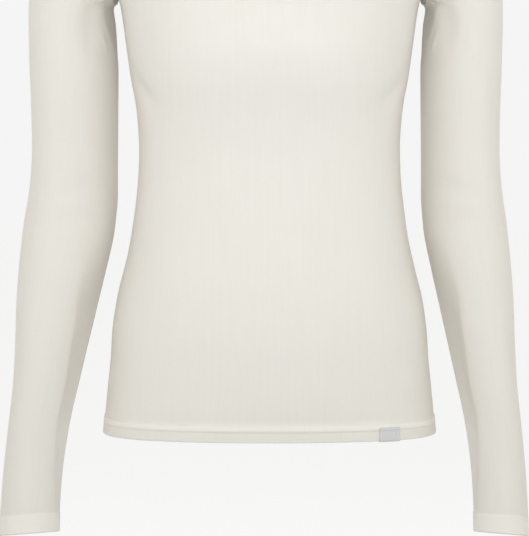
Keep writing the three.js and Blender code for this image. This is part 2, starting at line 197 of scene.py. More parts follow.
# Folds. On the trunk, up is the height above the hem along the side and share the place between
# centre and side; on a sleeve, down is the distance below its top ring and turn the angle from
# its outer line towards its front. deep is a trough, or a ridge where it is less than nothing.
TRUNK_FOLDS = [
    {"face": -1, "up": 322, "share": 0.72, "angle": 38, "long": 42, "wide": 9, "deep": 2.8},
    {"face": -1, "up": 322, "share": -0.72, "angle": -38, "long": 42, "wide": 9, "deep": 2.8},
    {"face": -1, "up": 394, "share": 0.9, "angle": 45, "long": 10, "wide": 3.4, "deep": 1.7},
    {"face": -1, "up": 394, "share": -0.9, "angle": -45, "long": 10, "wide": 3.4, "deep": 1.7},
    {"face": 1, "up": 262, "share": 0.1, "angle": 4, "long": 120, "wide": 13, "deep": 2.4},
    {"face": 1, "up": 226, "share": -0.12, "angle": -5, "long": 105, "wide": 14, "deep": 2},
    {"face": 1, "up": 398, "share": 0.55, "angle": 50, "long": 60, "wide": 12, "deep": 1.8},
    {"face": 1, "up": 398, "share": -0.55, "angle": -50, "long": 60, "wide": 12, "deep": 1.8},
]
SLEEVE_FOLDS = [
    {"down": -19, "turn": 150, "angle": 4, "long": 18, "wide": 2.6, "deep": 2.5},
    {"down": 15, "turn": 150, "angle": -62, "long": 11, "wide": 2.2, "deep": -1.5},
    {"down": -4, "turn": 130, "angle": 84, "long": 40, "wide": 10, "deep": 2.4},
    {"down": 150, "turn": 118, "angle": 12, "long": 46, "wide": 9, "deep": 1.8},
    {"down": 178, "turn": 112, "angle": -8, "long": 42, "wide": 9, "deep": 1.6},
    {"down": 8, "turn": 214, "angle": 50, "long": 36, "wide": 6, "deep": 2},
]

# Faint waves of the knit on the panels, which come in between the two low heights and go out
# between the two high ones, and the puckers beside the seams. pitch, sway, across, drift and
# reach are lengths along the cloth; count and sways are for each radian round a sleeve.
RIPPLE = {"deep": 0.16, "pitch": 7.3, "sway": 61, "across": 47, "drift": 90}
RIPPLE_ENDS = {"low": (20, 60), "high": (210, 330)}
PUCKER = {"deep": 0.14, "pitch": 1.55, "sway": 9, "reach": 4.5}
SLEEVE_PUCKER = {"deep": 0.12, "count": 34, "sways": 5, "reach": 5}

# The inner side of a sleeve is flattened from the silhouette to a soft edge, which is a tuck at the
# underarm and the inner seam on the forearm: aside is how far that edge lies forward of the inner
# line of the sleeve, and flat how much of the sleeve's own curve is taken out between the two.
SLEEVE_SEAM = table_of(
    ["height", "aside", "flat"],
    [
        [-196, 27, 0],
        [-205, 25, 1.1],
        [-220, 21.5, 1.4],
        [-233, 15, 1.1],
        [-247, 7, 0.4],
        [-262, 2, 0],
        [-400, 12, 0.05],
        [-440, 29, 0.3],
        [-471, 32, 0.8],
        [-499, 26.5, 1.3],
        [-527, 23, 1.45],
        [-555, 19.5, 1.5],
        [-583, 19, 1.5],
        [-611, 16.5, 1.55],
        [-638, 13, 1.6],
        [-666, 8, 1.1],
        [-693, 3, 0],
    ],
)
SEAM_LEAD = 8.5  # how far the silhouette lies behind the inner line
UNDERARM_SAG = 4.2  # how far the cloth bags down below the seam at the underarm
SLEEVE_ROUND = 41  # cloth of a sleeve to each radian round it, for the run of the knit


# Curves and surfaces


def hermite(start, start_pull, end, end_pull, t):
    t2, t3 = t * t, t * t * t
    return (
        (2 * t3 - 3 * t2 + 1) * start
        + (t3 - 2 * t2 + t) * start_pull
        + (3 * t2 - 2 * t3) * end
        + (t3 - t2) * end_pull
    )


def curve_at(places, values, at):
    """A smooth curve through the values at the places, which rise or fall steadily."""
    if places[0] > places[-1]:
        places, values = places[::-1], values[::-1]
    before = np.maximum(np.arange(len(places)) - 1, 0)
    after = np.minimum(np.arange(len(places)) + 1, len(places) - 1)
    slopes = (values[after] - values[before]) / (places[after] - places[before])
    i = np.clip(np.searchsorted(places, at) - 1, 0, len(places) - 2)
    span = places[i + 1] - places[i]
    t = (at - places[i]) / span
    return hermite(values[i], slopes[i] * span, values[i + 1], slopes[i + 1] * span, t)


def smooth(t):
    c = np.clip(t, 0, 1)
    return c * c * (3 - 2 * c)


def unit(v):
    return v / np.maximum(np.linalg.norm(v, axis=-1, keepdims=True), 1e-12)


def trough_at(fold, across, up):
    angle = math.radians(fold["angle"])
    along = (across * math.cos(angle) + up * math.sin(angle)) / fold["long"]
    aside = (up * math.cos(angle) - across * math.sin(angle)) / fold["wide"]
    ends = np.clip(1 - along**2, 0, None) ** 2
    return fold["deep"] * ends * np.exp(-(aside**2))


# Height up the side of the trunk from the hem, along its cloth, at each row of the table
UP = np.concatenate([[0], np.cumsum(np.hypot(np.diff(TRUNK["side"]), np.diff(TRUNK["half"])))])
UP_NECK = UP[-1]
DENSE_UP = np.linspace(0, UP_NECK, 6000)
DENSE_SIDE = curve_at(UP, TRUNK["side"], DENSE_UP)


def up_at_side(side):
    return np.interp(side, DENSE_SIDE, DENSE_UP)


UP_UNDERARM = up_at_side(ARMHOLE["mid"] - ARMHOLE["tall"])
UP_SHOULDER = up_at_side(ARMHOLE["mid"] + ARMHOLE["tall"])


def trunk_ring(face, up):
    """The quarter of a ring from the centre line to the side: its turns and the cloth to each."""
    ring = {name: float(curve_at(UP, TRUNK[name], up)) for name in TRUNK}
    ring["depth"] = ring["front" if face < 0 else "back"]
    ring["centre"] = ring["fore" if face < 0 else "aft"]
    ring["turns"] = np.linspace(0, math.pi / 2, 97)
    radius = ring_radius(ring, ring["turns"])
    steps = np.hypot(np.diff(radius * np.sin(ring["turns"])), np.diff(radius * np.cos(ring["turns"])))
    ring["girths"] = np.concatenate([[0], np.cumsum(steps)])
    ring["girth"] = ring["girths"][-1]
    return ring


def ring_radius(ring, turn):
    fore = np.clip(np.cos(turn), 0, None) / ring["depth"]
    out = np.sin(turn) / ring["half"]
    return (fore ** ring["square"] + out ** ring["square"]) ** (-1 / ring["square"])


def trunk_points(face, up, share, ring=None):
    """Points of the trunk at one height. face is -1 on the front and 1 on the back; share runs
    from 0 on the centre line to 1 at the wearer's left side, in even steps of cloth."""
    ring = ring or trunk_ring(face, up)
    share = np.asarray(share, float)
    turn = np.interp(np.minimum(np.abs(share), 1) * ring["girth"], ring["girths"], ring["turns"])
    radius = ring_radius(ring, turn)
    lean = np.clip(np.cos(turn), 0, None) ** TILT_CURVE
    x = np.sign(share) * radius * np.sin(turn)
    y = face * radius * np.clip(np.cos(turn), 0, None)
    z = ring["side"] + (ring["centre"] - ring["side"]) * lean
    return np.stack([x, y, z], axis=-1)


def trunk_way_out(face, up, share):
    """The way out of the trunk's surface at one height."""
    inside = min(max(up, 0.5), UP_NECK - 0.5)
    held = np.clip(share, -0.999, 0.999)
    along_up = trunk_points(face, inside + 0.4, held) - trunk_points(face, inside - 0.4, held)
    along_share = trunk_points(face, inside, held + 0.0008) - trunk_points(face, inside, held - 0.0008)
    normal = unit(np.cross(along_up, along_share))
    here = trunk_points(face, inside, held)
    outwards = np.stack([here[..., 0] / 2, here[..., 1], np.full_like(here[..., 0], 10)], axis=-1)
    return normal * np.sign(np.sum(normal * outwards, axis=-1, keepdims=True))


def panel_reach(face, up):
    """How far out along its ring a panel reaches: to the side, or to the armhole's edge."""
    if not UP_UNDERARM < up < UP_SHOULDER:
        return 1.0
    share = np.linspace(0, 1, 1200)
    p = trunk_points(face, up, share)
    wide = ARMHOLE["fore"] if face < 0 else ARMHOLE["aft"]
    tall = np.abs((p[:, 2] - ARMHOLE["mid"]) / ARMHOLE["tall"]) ** ARMHOLE["square"]
    hole = tall + np.abs(p[:, 1] / wide) ** ARMHOLE["square"] - 1
    inside = np.nonzero(hole < 0)[0]
    if len(inside) == 0:
        return 1.0
    k = inside[0]
    return float(np.interp(0, [hole[k], hole[k - 1]], [share[k], share[k - 1]]))


def armhole_up(turn):
    return up_at_side(ARMHOLE["mid"] + ARMHOLE["tall"] * np.cos(turn))


def armhole_edge(turn):
    """The edge of the armhole on the wearer's left, at a turn from the shoulder over the front."""
    face = -1 if math.sin(turn) >= 0 else 1
    up = float(armhole_up(turn))
    share = panel_reach(face, up)
    return trunk_points(face, up, share), trunk_way_out(face, up, share)


def limb_points(sleeve, height, turn):
    """A ring of a sleeve below the armhole, on the wearer's left."""
    column = {name: float(curve_at(LIMB["height"], LIMB[name], height)) for name in LIMB}
    across = column["across"] * sleeve["width"]
    drop = (ELBOW - height) / (ELBOW - LIMB["height"][-1])
    inner = column["inner"] - sleeve["tuck"] * max(drop, 0)
    lean = math.sqrt((across / 2) ** 2 - column["turned"] ** 2)
    x = inner + across / 2 + lean * np.cos(turn) + column["turned"] * np.sin(turn)
    y = column["fore"] - column["deep"] / 2 * np.sin(turn)
    z = height - column["dip"] / 2 * np.cos(turn) + column["rise"] / 2 * np.sin(turn)
    return np.stack([x, y, z], axis=-1)


LIMB_TOP = LIMB["height"][0]
LIMB_END = LIMB["height"][-1]


def head_stretch(sleeve, turns):
    """The first stretch of a sleeve: where it leaves the armhole and meets the limb, and how it
    is pulled at both ends, at each turn."""
    edge = [armhole_edge(turn) for turn in turns]
    place = np.array([e[0] for e in edge])
    normal = np.array([e[1] for e in edge])
    after = np.array([armhole_edge(turn + 0.02)[0] for turn in turns])
    before = np.array([armhole_edge(turn - 0.02)[0] for turn in turns])
    across = unit(np.cross(normal, unit(after - before)))
    outward = np.sign(across[:, :1] * (1 + np.cos(turns))[:, None])
    across *= np.where(outward == 0, 1, outward)
    under = (1 - np.cos(turns)) / 2
    lift = HEAD["top_lift"] + (HEAD["under_lift"] - HEAD["top_lift"]) * under**5
    lift += HEAD["broad_lift"] * np.sin(turns) ** 2
    leave = unit(across + normal * lift[:, None])
    end = limb_points(sleeve, LIMB_TOP, turns)
    arrive = unit(end - limb_points(sleeve, LIMB_TOP + 1, turns))
    far = np.linalg.norm(end - place, axis=1, keepdims=True)
    pull = far * (HEAD["top_pull"] + (HEAD["under_pull"] - HEAD["top_pull"]) * under**4)[:, None]
    return place, leave * pull, end, arrive * far * HEAD["end_pull"]


# Making meshes


def way_out_of_grid(points, is_round, sign):
    """The way out at each point of a grid of rows and columns."""
    up = np.gradient(points, axis=0)
    if is_round:
        across = np.roll(points, -1, axis=1) - np.roll(points, 1, axis=1)
    else:
        across = np.gradient(points, axis=1)
    return unit(np.cross(across, up)) * sign


def wall_object(name, outer, inner, coords, is_round, material):
    """A wall of cloth as one closed mesh from its outer and inner grids. coords are the places
    on the flat cloth, in metres, and become its UV map."""
    rows, columns = outer.shape[:2]
    points = np.concatenate([outer.reshape(-1, 3), inner.reshape(-1, 3)]) * MM
    index = np.arange(rows * columns).reshape(rows, columns)
    right = np.roll(index, -1, axis=1) if is_round else index[:, 1:]
    left = index if is_round else index[:, :-1]
    far = rows * columns

    def strip(a, b, c, d):
        return np.stack([a, b, c, d], axis=-1).reshape(-1, 4)

    quads = [
        strip(left[:-1], right[:-1], right[1:], left[1:]),
        strip(left[:-1], left[1:], right[1:], right[:-1]) + far,
        strip(left[0] + far, right[0] + far, right[0], left[0]),
        strip(left[-1], right[-1], right[-1] + far, left[-1] + far),
    ]
    if not is_round:
        ends = index[:, 0], index[:, -1]
        quads.append(strip(ends[0][:-1], ends[0][1:], ends[0][1:] + far, ends[0][:-1] + far))
        quads.append(strip(ends[1][:-1] + far, ends[1][1:] + far, ends[1][1:], ends[1][:-1]))
    quads = np.concatenate(quads)
    corner = points[quads]
    volume = np.sum(corner[:, 0] * np.cross(corner[:, 1], corner[:, 2]))
    volume += np.sum(corner[:, 0] * np.cross(corner[:, 2], corner[:, 3]))
    if volume < 0:
        quads = quads[:, ::-1]
    obj = mesh_object(name, points, quads, material)
    flat = np.concatenate([coords.reshape(-1, 2)] * 2)
    around = flat[quads]
    if is_round:
        # the last strip of a tube runs on past the seam instead of back across the whole cloth
        span = coords[0, -1, 0] + (coords[0, 1, 0] - coords[0, 0, 0]) - coords[0, 0, 0]
        wrapped = around[:, :, 0].max(axis=1, keepdims=True) - around[:, :, 0] > span / 2
        around[:, :, 0] += np.where(wrapped, span, 0)
    layer = obj.data.uv_layers.new(name="cloth")
    layer.data.foreach_set("uv", around.reshape(-1))
    return obj


def mesh_object(name, points, faces, material):
    mesh = bpy.data.meshes.new(name)
    mesh.from_pydata(points.tolist(), [], faces.tolist())
    mesh.polygons.foreach_set("use_smooth", [True] * len(mesh.polygons))
    mesh.materials.append(material)
    mesh.update()
    obj = bpy.data.objects.new(name, mesh)
    bpy.context.collection.objects.link(obj)
    return obj


def edged(inside, half, step):
    """Places from minus half to half, close together towards both ends."""
    count = max(int((half - inside[-1]) * 2 / step), 2)
    middle = np.linspace(-half + inside[-1], half - inside[-1], count)
    ends = np.array(inside[:-1])
    return np.concatenate([-half + ends, middle, (half - ends)[::-1]])


# The knit and its colours


def new_material(name):
    material = bpy.data.materials.new(name)
    material.use_nodes = True
    material.node_tree.nodes.clear()
    return material, material.node_tree


def add_node(tree, kind, inputs=None, **settings):
    node = tree.nodes.new(kind)
    for key, value in settings.items():
        setattr(node, key, value)
    for key, value in (inputs or {}).items():
        if isinstance(value, bpy.types.NodeSocket):
            tree.links.new(value, node.inputs[key])
        else:
            node.inputs[key].default_value = value
    return node


def maths(tree, operation, a, b=0.0):
    return add_node(tree, "ShaderNodeMath", {0: a, 1: b}, operation=operation).outputs[0]


def mixed(tree, share, first, second):
    """A mix of two colours, each a colour or a socket, by the share of the second."""
    inputs = {"Factor": share}
    for key, value in ((6, first), (7, second)):
        inputs[key] = value if isinstance(value, bpy.types.NodeSocket) else (*value, 1)
    return add_node(tree, "ShaderNodeMix", inputs, data_type="RGBA").outputs[2]


def scaled(colour, gain):
    return tuple(min(c * gain, 1) for c in colour)


def bump(tree, strength, deep, height, normal=None):
    """Relief of this depth in millimetres, over that of another normal if one is given."""
    inputs = {"Strength": strength, "Distance": deep * MM, "Height": height}
    if normal is not None:
        inputs["Normal"] = normal
    return add_node(tree, "ShaderNodeBump", inputs).outputs[0]


def noise(tree, place, scale, detail):
    inputs = {"Vector": place, "Scale": scale, "Detail": detail}
    return add_node(tree, "ShaderNodeTexNoise", inputs).outputs[0]


def cloth_place(tree):
    """The place on the flat cloth, with its parts across and up the cloth."""
    place = add_node(tree, "ShaderNodeUVMap", uv_map="cloth").outputs["UV"]
    split = add_node(tree, "ShaderNodeSeparateXYZ", {"Vector": place})
    return place, split.outputs["X"], split.outputs["Y"]


def surfaced(tree, inputs):
    """Ends a material's nodes with a surface that has these inputs."""
    shader = add_node(tree, "ShaderNodeBsdfPrincipled", inputs)
    add_node(tree, "ShaderNodeOutputMaterial", {"Surface": shader.outputs[0]})


def knit_material(name, colour, thick, wale=1.05, course=0.8):
    """A smooth fine jersey: columns of loops up the cloth, a slight cloudiness and a soft nap.
    Between the two heights of thick, where it is stitched or doubled, it lets less light through
    and looks paler."""
    material, tree = new_material(name)
    place, across, up = cloth_place(tree)
    column = maths(tree, "MULTIPLY", across, 1 / (wale * MM))
    part = maths(tree, "FRACT", column)
    fold = maths(tree, "ABSOLUTE", maths(tree, "SUBTRACT", part, 0.5))
    squared = maths(tree, "MULTIPLY", fold, fold)
    crown = maths(tree, "SUBTRACT", 1, maths(tree, "MULTIPLY", squared, 4))
    row = maths(tree, "ADD", maths(tree, "MULTIPLY", up, 1 / (course * MM)), fold)
    loop = maths(tree, "SINE", maths(tree, "MULTIPLY", row, math.tau))
    yarn = maths(tree, "ADD", crown, maths(tree, "MULTIPLY", loop, 0.35))
    stretched = add_node(tree, "ShaderNodeMapping", {"Vector": place, "Scale": (260, 14, 1)})
    streak = noise(tree, stretched.outputs[0], 1, 2)
    cloud = noise(tree, place, 16, 3)
    fibre = noise(tree, place, 1700, 2)
    loops = bump(tree, 0.35, 0.16, yarn)
    nap = bump(tree, 0.25, 0.1, fibre, loops)
    wave = bump(tree, 0.15, 0.2, streak, nap)
    half_streak = maths(tree, "MULTIPLY", streak, 0.5)
    tone = maths(tree, "ADD", half_streak, maths(tree, "MULTIPLY", cloud, 0.5))
    plain = mixed(tree, tone, scaled(colour, 0.95), scaled(colour, 1.03))
    from_middle = maths(tree, "ABSOLUTE", maths(tree, "SUBTRACT", up, sum(thick) / 2 * MM))
    inside = maths(tree, "SUBTRACT", (thick[1] - thick[0]) / 2 * MM, from_middle)
    doubled = maths(tree, "MULTIPLY", inside, 1 / (THICK_FADE * MM))
    doubled.node.use_clamp = True
    opaque = mixed(tree, doubled, plain, scaled(colour, THICK_GAIN))
    # painted shade: the base colour darkens towards 0.72 of itself in the grooves between the columns
    # of loops, where shade would fall
    gap = maths(tree, "MULTIPLY", maths(tree, "SUBTRACT", 1, crown), 0.16)
    surfaced(
        tree,
        {
            "Base Color": mixed(tree, gap, opaque, scaled(colour, 0.72)),
            "Roughness": 0.88,
            "Specular IOR Level": 0.25,
            "Sheen Weight": 0.12,
            "Sheen Roughness": 0.45,
            "Normal": wave,
        },
    )
    return material


def woven_material(name, colour, border):
    """A close satin tape, with a line woven in just inside its edges."""
    material, tree = new_material(name)
    place, across, up = cloth_place(tree)
    weft = maths(tree, "SINE", maths(tree, "MULTIPLY", up, math.tau / (0.34 * MM)))
    warp = maths(tree, "SINE", maths(tree, "MULTIPLY", across, math.tau / (0.42 * MM)))
    weave = maths(tree, "ADD", weft, maths(tree, "MULTIPLY", warp, 0.6))
    fine = bump(tree, 0.3, 0.07, weave)
    middle = LABEL["width"] / 2 * MM
    out_side = maths(tree, "SUBTRACT", middle, maths(tree, "ABSOLUTE", across))
    edge = maths(tree, "MINIMUM", out_side, maths(tree, "SUBTRACT", LABEL["height"] * MM, up))
    line = maths(tree, "COMPARE", edge, LABEL_LINE["inset"] * MM)
    line.node.inputs[2].default_value = LABEL_LINE["half"] * MM
    cloud = noise(tree, place, 420, 2)
    plain = mixed(tree, cloud, scaled(colour, 0.93), scaled(colour, 1.05))
    surfaced(
        tree,
        {
            "Base Color": mixed(tree, line, plain, border),
            "Roughness": 0.6,
            "Specular IOR Level": 0.35,
            "Sheen Weight": 0.1,
            "Normal": fine,
        },
    )
    return material


def thread_material(name, colour):
    """Twisted sewing thread."""
    material, tree = new_material(name)
    place = add_node(tree, "ShaderNodeTexCoord").outputs["Object"]
    twist = noise(tree, place, 2600, 1)
    relief = bump(tree, 0.4, 0.05, twist)
    tone = mixed(tree, twist, scaled(colour, 0.94), colour)
    surfaced(tree, {"Base Color": tone, "Roughness": 0.6, "Sheen Weight": 0.1, "Normal": relief})
    return material


panel_knit = knit_material("ivory_knit_panel", IVORY, thick=(10.4, 15.6))
sleeve_knit = knit_material("ivory_knit_sleeve", IVORY, thick=(-10, CUFF["height"]))
band_knit = knit_material("ivory_knit_band", IVORY, thick=(-10, 30))
thread = thread_material("ivory_thread", THREAD)
tape = woven_material("grey_tape", TAPE["ground"], TAPE["line"])


# The relief of the cloth


def seam_dip(distance):
    """How far the cloth is drawn in beside a seam."""
    return SEAM["dip"] * np.exp(-((distance / SEAM["reach"]) ** 2))


def round_edge(distance, half):
    """How far the face of a folded edge lies back, close to the edge."""
    short = np.clip(half - distance, 0, half)
    return half - np.sqrt(half**2 - short**2)


def hem_proud(up, share):
    """How far the cloth of the hem stands out of the plain cloth. Its ridge dies away at the side
    seams, where only the doubled cloth is left."""
    curve = curve_at(HEM_SECTION["up"], HEM_SECTION["proud"], up)
    section = np.where(up < HEM_SECTION["up"][-1], curve, 0)
    level = HEM["double"] * smooth((HEM["height"] + HEM["blend"] / 2 - up) / HEM["blend"])
    middle = smooth((1 - np.abs(share)) / HEM["fade"])
    return level + (section - level) * (HEM["least"] + (1 - HEM["least"]) * middle)


def panel_relief(face, up, share, girth, reach):
    """How far the face of a panel lies behind its plain form."""
    across = share * girth
    deep = np.zeros_like(share)
    for fold in TRUNK_FOLDS:
        if fold["face"] == face:
            deep += trough_at(fold, (share - fold["share"]) * girth, up - fold["up"])
    deep *= smooth((1 - np.abs(share)) / 0.12)
    wave = np.sin(up / RIPPLE["pitch"] + 1.3 * np.sin(across / RIPPLE["sway"] + face))
    ripple = wave * np.sin(across / RIPPLE["across"] + up / RIPPLE["drift"] + 0.7)
    low, high = RIPPLE_ENDS["low"], RIPPLE_ENDS["high"]
    band = smooth((up - low[0]) / (low[1] - low[0])) * smooth((high[1] - up) / (high[1] - high[0]))
    deep += RIPPLE["deep"] * ripple * band
    edge = (reach - np.abs(share)) * girth
    gather = np.sin(up / PUCKER["pitch"] + 2 * np.sin(up / PUCKER["sway"]))
    pucker = PUCKER["deep"] * gather * np.exp(-edge / PUCKER["reach"])
    deep += seam_dip(edge) + pucker
    return deep


def panel_grid(face):
    ups = np.concatenate(
        [
            HEM_STEPS,
            np.arange(8.4, 18.4, 0.5),
            np.arange(19, 34, 1.5),
            np.arange(35, UP_UNDERARM - 1, 3.4),
            armhole_up(np.linspace(math.pi, 0, 64)),
            np.linspace(UP_SHOULDER, UP_NECK, 40)[1:-5],
            UP_NECK - np.array(NECK_STEPS),
        ]
    )
    shape = edged(EDGE_STEPS, PANEL_HALF, 3.6) / PANEL_HALF
    points, relief, coords, shares = [], [], [], []
    for up in ups:
        ring = trunk_ring(face, up)
        reach = panel_reach(face, up)
        share = shape * reach
        points.append(trunk_points(face, up, share, ring))
        relief.append(panel_relief(face, up, share, ring["girth"], reach))
        coords.append(np.stack([share * ring["girth"], np.full_like(share, up)], axis=-1))
        shares.append(share)
    return np.array(points), np.array(relief), np.array(coords) * MM, ups, np.array(shares)


def make_panel(name, face):
    points, relief, coords, ups, shares = panel_grid(face)
    normal = way_out_of_grid(points, False, -face)
    up = ups[:, None]
    half = (CLOTH + 2 * HEM["double"]) / 2
    fold = round_edge(up, half) * (up < half)
    proud = hem_proud(up, shares) - relief - fold - seam_dip(UP_NECK - up)
    behind = CLOTH + relief + HEM["double"] * (up < HEM["height"]) - fold
    outer = points + normal * proud[..., None]
    inner = points - normal * behind[..., None]
    return wall_object(name, outer, inner, coords, False, panel_knit)


front = make_panel("front_cloth", -1)
back = make_panel("back_cloth", 1)


def sleeve_relief(points, turns, start):
    """How far the face of a sleeve lies behind its plain form. points is its grid."""
    height = points[..., 2]
    down = LIMB_TOP - height
    radius = curve_at(LIMB["height"], LIMB["deep"], np.clip(height, LIMB_END, LIMB_TOP)) / 2
    deep = np.zeros_like(height)
    for fold in SLEEVE_FOLDS:
        across = (turns[None, :] - math.radians(fold["turn"])) * radius
        deep += trough_at(fold, across, fold["down"] - down)
    from_armhole = np.linalg.norm(points - start[None], axis=-1)
    deep *= smooth(from_armhole / 14)
    held = np.clip(height, SLEEVE_SEAM["height"][-1], SLEEVE_SEAM["height"][0])
    aside = np.clip(curve_at(SLEEVE_SEAM["height"], SLEEVE_SEAM["aside"], held), 0, None)
    flat = np.clip(curve_at(SLEEVE_SEAM["height"], SLEEVE_SEAM["flat"], held), 0, None)
    inwards = (turns - math.pi)[None, :] * radius + aside
    strip = aside + SEAM_LEAD
    beyond = np.clip(inwards, 0, strip)
    deep += flat * beyond * (strip - beyond) / (2 * radius)
    gather = np.sin(turns * SLEEVE_PUCKER["count"] + 2 * np.sin(turns * SLEEVE_PUCKER["sways"]))
    pucker = SLEEVE_PUCKER["deep"] * gather[None, :] * np.exp(-from_armhole / SLEEVE_PUCKER["reach"])
    return deep + seam_dip(from_armhole) + 0.5 * seam_dip(inwards) * smooth(flat) + pucker


def sleeve_grid(sleeve):
    """Its points, the turn of each column, the armhole's edge and the height of each row. Rows of
    the first stretch count as far above the cuff."""
    halves = [np.linspace(0, math.pi, 49)[:-1], np.linspace(math.pi, math.tau, 49)[:-1]]
    turns = np.concatenate(halves)
    inner = np.radians(np.arange(126, 196, 1.5))
    turns = np.unique(np.concatenate([turns, inner]).round(6))
    turns = turns[np.concatenate([[True], np.diff(turns) > 0.006])]
    place, leave, end, arrive = head_stretch(sleeve, turns)
    downs = np.concatenate([[0, 0.005, 0.012, 0.02, 0.03, 0.045, 0.065], np.linspace(0.09, 0.985, 52)])
    under = np.exp(-(((turns - math.pi) / 0.5) ** 2))
    sag = UNDERARM_SAG * smooth(downs / 0.1) * smooth((0.75 - downs) / 0.6)
    head = [hermite(place, leave, end, arrive, down) for down in downs]
    for row, lower in zip(head, sag):
        row[:, 2] -= lower * under
    cuff = CUFF["height"]
    close = np.concatenate([np.arange(cuff + 7, 3, -1), [2.4, 1.6, 1.1, 0.6, 0.25, 0]])
    heights = np.concatenate([np.arange(LIMB_TOP, LIMB_END + cuff + 8, -3.1), LIMB_END + close])
    limb = [limb_points(sleeve, height, turns) for height in heights]
    return np.array(head + limb), turns, place, np.concatenate([np.full(len(downs), 1e3), heights])


def make_sleeve(sleeve):
    points, turns, start, heights = sleeve_grid(sleeve)
    normal = way_out_of_grid(points, True, 1)
    if np.sum(normal[-1] * (points[-1] - points[-1].mean(axis=0))) < 0:
        normal = -normal
    relief = sleeve_relief(points, turns, start)
    above = (heights - LIMB_END)[:, None]
    blend = CUFF["blend"]
    double = CUFF["double"] * (1 - smooth((above - CUFF["height"] + blend / 2) / blend))
    half = (CLOTH + 2 * CUFF["double"]) / 2
    fold = round_edge(above, half) * (above < half)
    outer = points + normal * (double - relief - fold)[..., None]
    inner = points - normal * (CLOTH + double + relief - fold)[..., None]
    steps = np.linalg.norm(np.diff(points, axis=0), axis=-1).mean(axis=1)
    length = np.concatenate([[0], np.cumsum(steps)])
    around = turns[None, :] * SLEEVE_ROUND
    coords = np.stack(np.broadcast_arrays(around, length[-1] - length[:, None]), axis=-1) * MM
    for grid in (outer, inner):
        grid[..., 0] *= sleeve["side"]
    return wall_object(sleeve["name"] + "_cloth", outer, inner, coords, True, sleeve_knit)


sleeves = [make_sleeve(sleeve) for sleeve in SLEEVES]


# The neckband


def neck_points(rounds, up=UP_NECK):
    """The neck seam at these shares of the way round, from centre front over the wearer's left."""
    turned = (rounds % 1) * 4
    front_part = (turned < 1) | (turned > 3)
    share = np.where(turned < 1, turned, np.where(turned < 3, 2 - turned, turned - 4))
    return np.where(front_part[:, None], trunk_points(-1, up, share), trunk_points(1, up, share))


def make_neckband():
    rounds = np.arange(192) / 192
    seam = neck_points(rounds)
    rise = unit(seam - neck_points(rounds, UP_NECK - 2))
    rise = unit(rise + (np.array([0, 0, 1]) - rise) * NECKBAND["upright"])
    around = neck_points(rounds + 0.004) - neck_points(rounds - 0.004)
    normal = unit(np.cross(around, rise))
    half = NECKBAND["thick"] / 2
    tall = NECKBAND["height"]
    crest = tall - np.array([1.3, 0.8, 0.4, 0.15, 0])
    ups = np.concatenate([[0, 0.4, 0.9, 1.6, 2.6], np.arange(3.8, tall - 1.4, 1.3), crest])
    outer, inner, coords = [], [], []
    for up in ups:
        place = seam + rise * (NECKBAND["lift"] + up)
        plump = half - round_edge(tall - up, half) * (tall - up < half)
        outer.append(place + normal * (plump - NECKBAND["dip"] * seam_dip(up)))
        inner.append(place - normal * plump)
        coords.append(np.stack([rounds * NECKBAND["round"], np.full_like(rounds, up)], axis=-1))
    outer, inner, coords = np.array(outer), np.array(inner), np.array(coords) * MM
    return wall_object("neckband_cloth", outer, inner, coords, True, band_knit)


neckband = make_neckband()


# The hem label


def make_label():
    """A tape that is folded over the bottom of the hem, with its tail inside."""
    girth = trunk_ring(-1, 0)["girth"]
    across = np.linspace(-LABEL["width"] / 2, LABEL["width"] / 2, 22)
    share = LABEL["share"] + across / girth
    gap = LABEL["gap"]
    thick = LABEL["thick"]
    turn = LABEL["turn"]
    down = unit(trunk_points(-1, 0.5, share) - trunk_points(-1, 4, share))
    rows = []
    for up in np.linspace(LABEL["height"], turn, 24):
        base = trunk_points(-1, up, share)
        normal = trunk_way_out(-1, up, share)
        off = (hem_proud(up, share) + gap)[:, None]
        rows.append((base + normal * (off + thick), base + normal * off, up))
    half = (CLOTH + 2 * HEM["double"]) / 2 + gap
    base = trunk_points(-1, turn, share)
    normal = trunk_way_out(-1, turn, share)
    centre = base + normal * (HEM["double"] - half + gap)
    for angle in np.linspace(0.15, math.pi - 0.15, 9):
        way = normal * math.cos(angle) + down * math.sin(angle)
        rows.append((centre + way * (half + thick), centre + way * half, turn - half * angle))
    for up in np.linspace(turn, LABEL["tail"], 6):
        base = trunk_points(-1, up, share)
        normal = trunk_way_out(-1, up, share)
        off = CLOTH + HEM["double"] + gap
        rows.append((base - normal * (off + thick), base - normal * off, -2 - up))
    outer = np.array([row[0] for row in rows])
    inner = np.array([row[1] for row in rows])
    coords = np.array([np.stack([across, np.full_like(across, row[2])], axis=-1) for row in rows])
    return wall_object("hem_label_tape", outer, inner, coords * MM, False, tape)


label = make_label()


# Sewing


def stitch_mesh(name, starts, ends, normals):
    """One mesh of short threads, each sunk at both its ends and proud in its middle."""
    sides = STITCH["sides"]
    steps = STITCH["steps"]
    along = np.linspace(0, 1, steps)
    thick = STITCH["thick"] / 2
    swell = thick * np.sqrt(np.clip(1 - (2 * along - 1) ** 4, 0.05, 1))
    height = 0.75 * thick * (1 - (2 * along - 1) ** 2)
    angles = np.arange(sides) / sides * math.tau
    way = unit(ends - starts)
    side = unit(np.cross(way, normals))
    up = np.cross(side, way)
    spine = starts[:, None] + (ends - starts)[:, None] * along[None, :, None]
    spine = spine + up[:, None] * height[None, :, None]
    aside = side[:, None, None] * np.cos(angles)[None, None, :, None]
    circle = aside + up[:, None, None] * np.sin(angles)[None, None, :, None]
    points = spine[:, :, None] + circle * swell[None, :, None, None]
    count = len(starts)
    index = np.arange(count * steps * sides).reshape(count, steps, sides)
    left, right = index, np.roll(index, -1, axis=2)
    quads = np.stack([left[:, :-1], right[:, :-1], right[:, 1:], left[:, 1:]], axis=-1)
    return mesh_object(name, points.reshape(-1, 3) * MM, quads.reshape(-1, 4), thread)


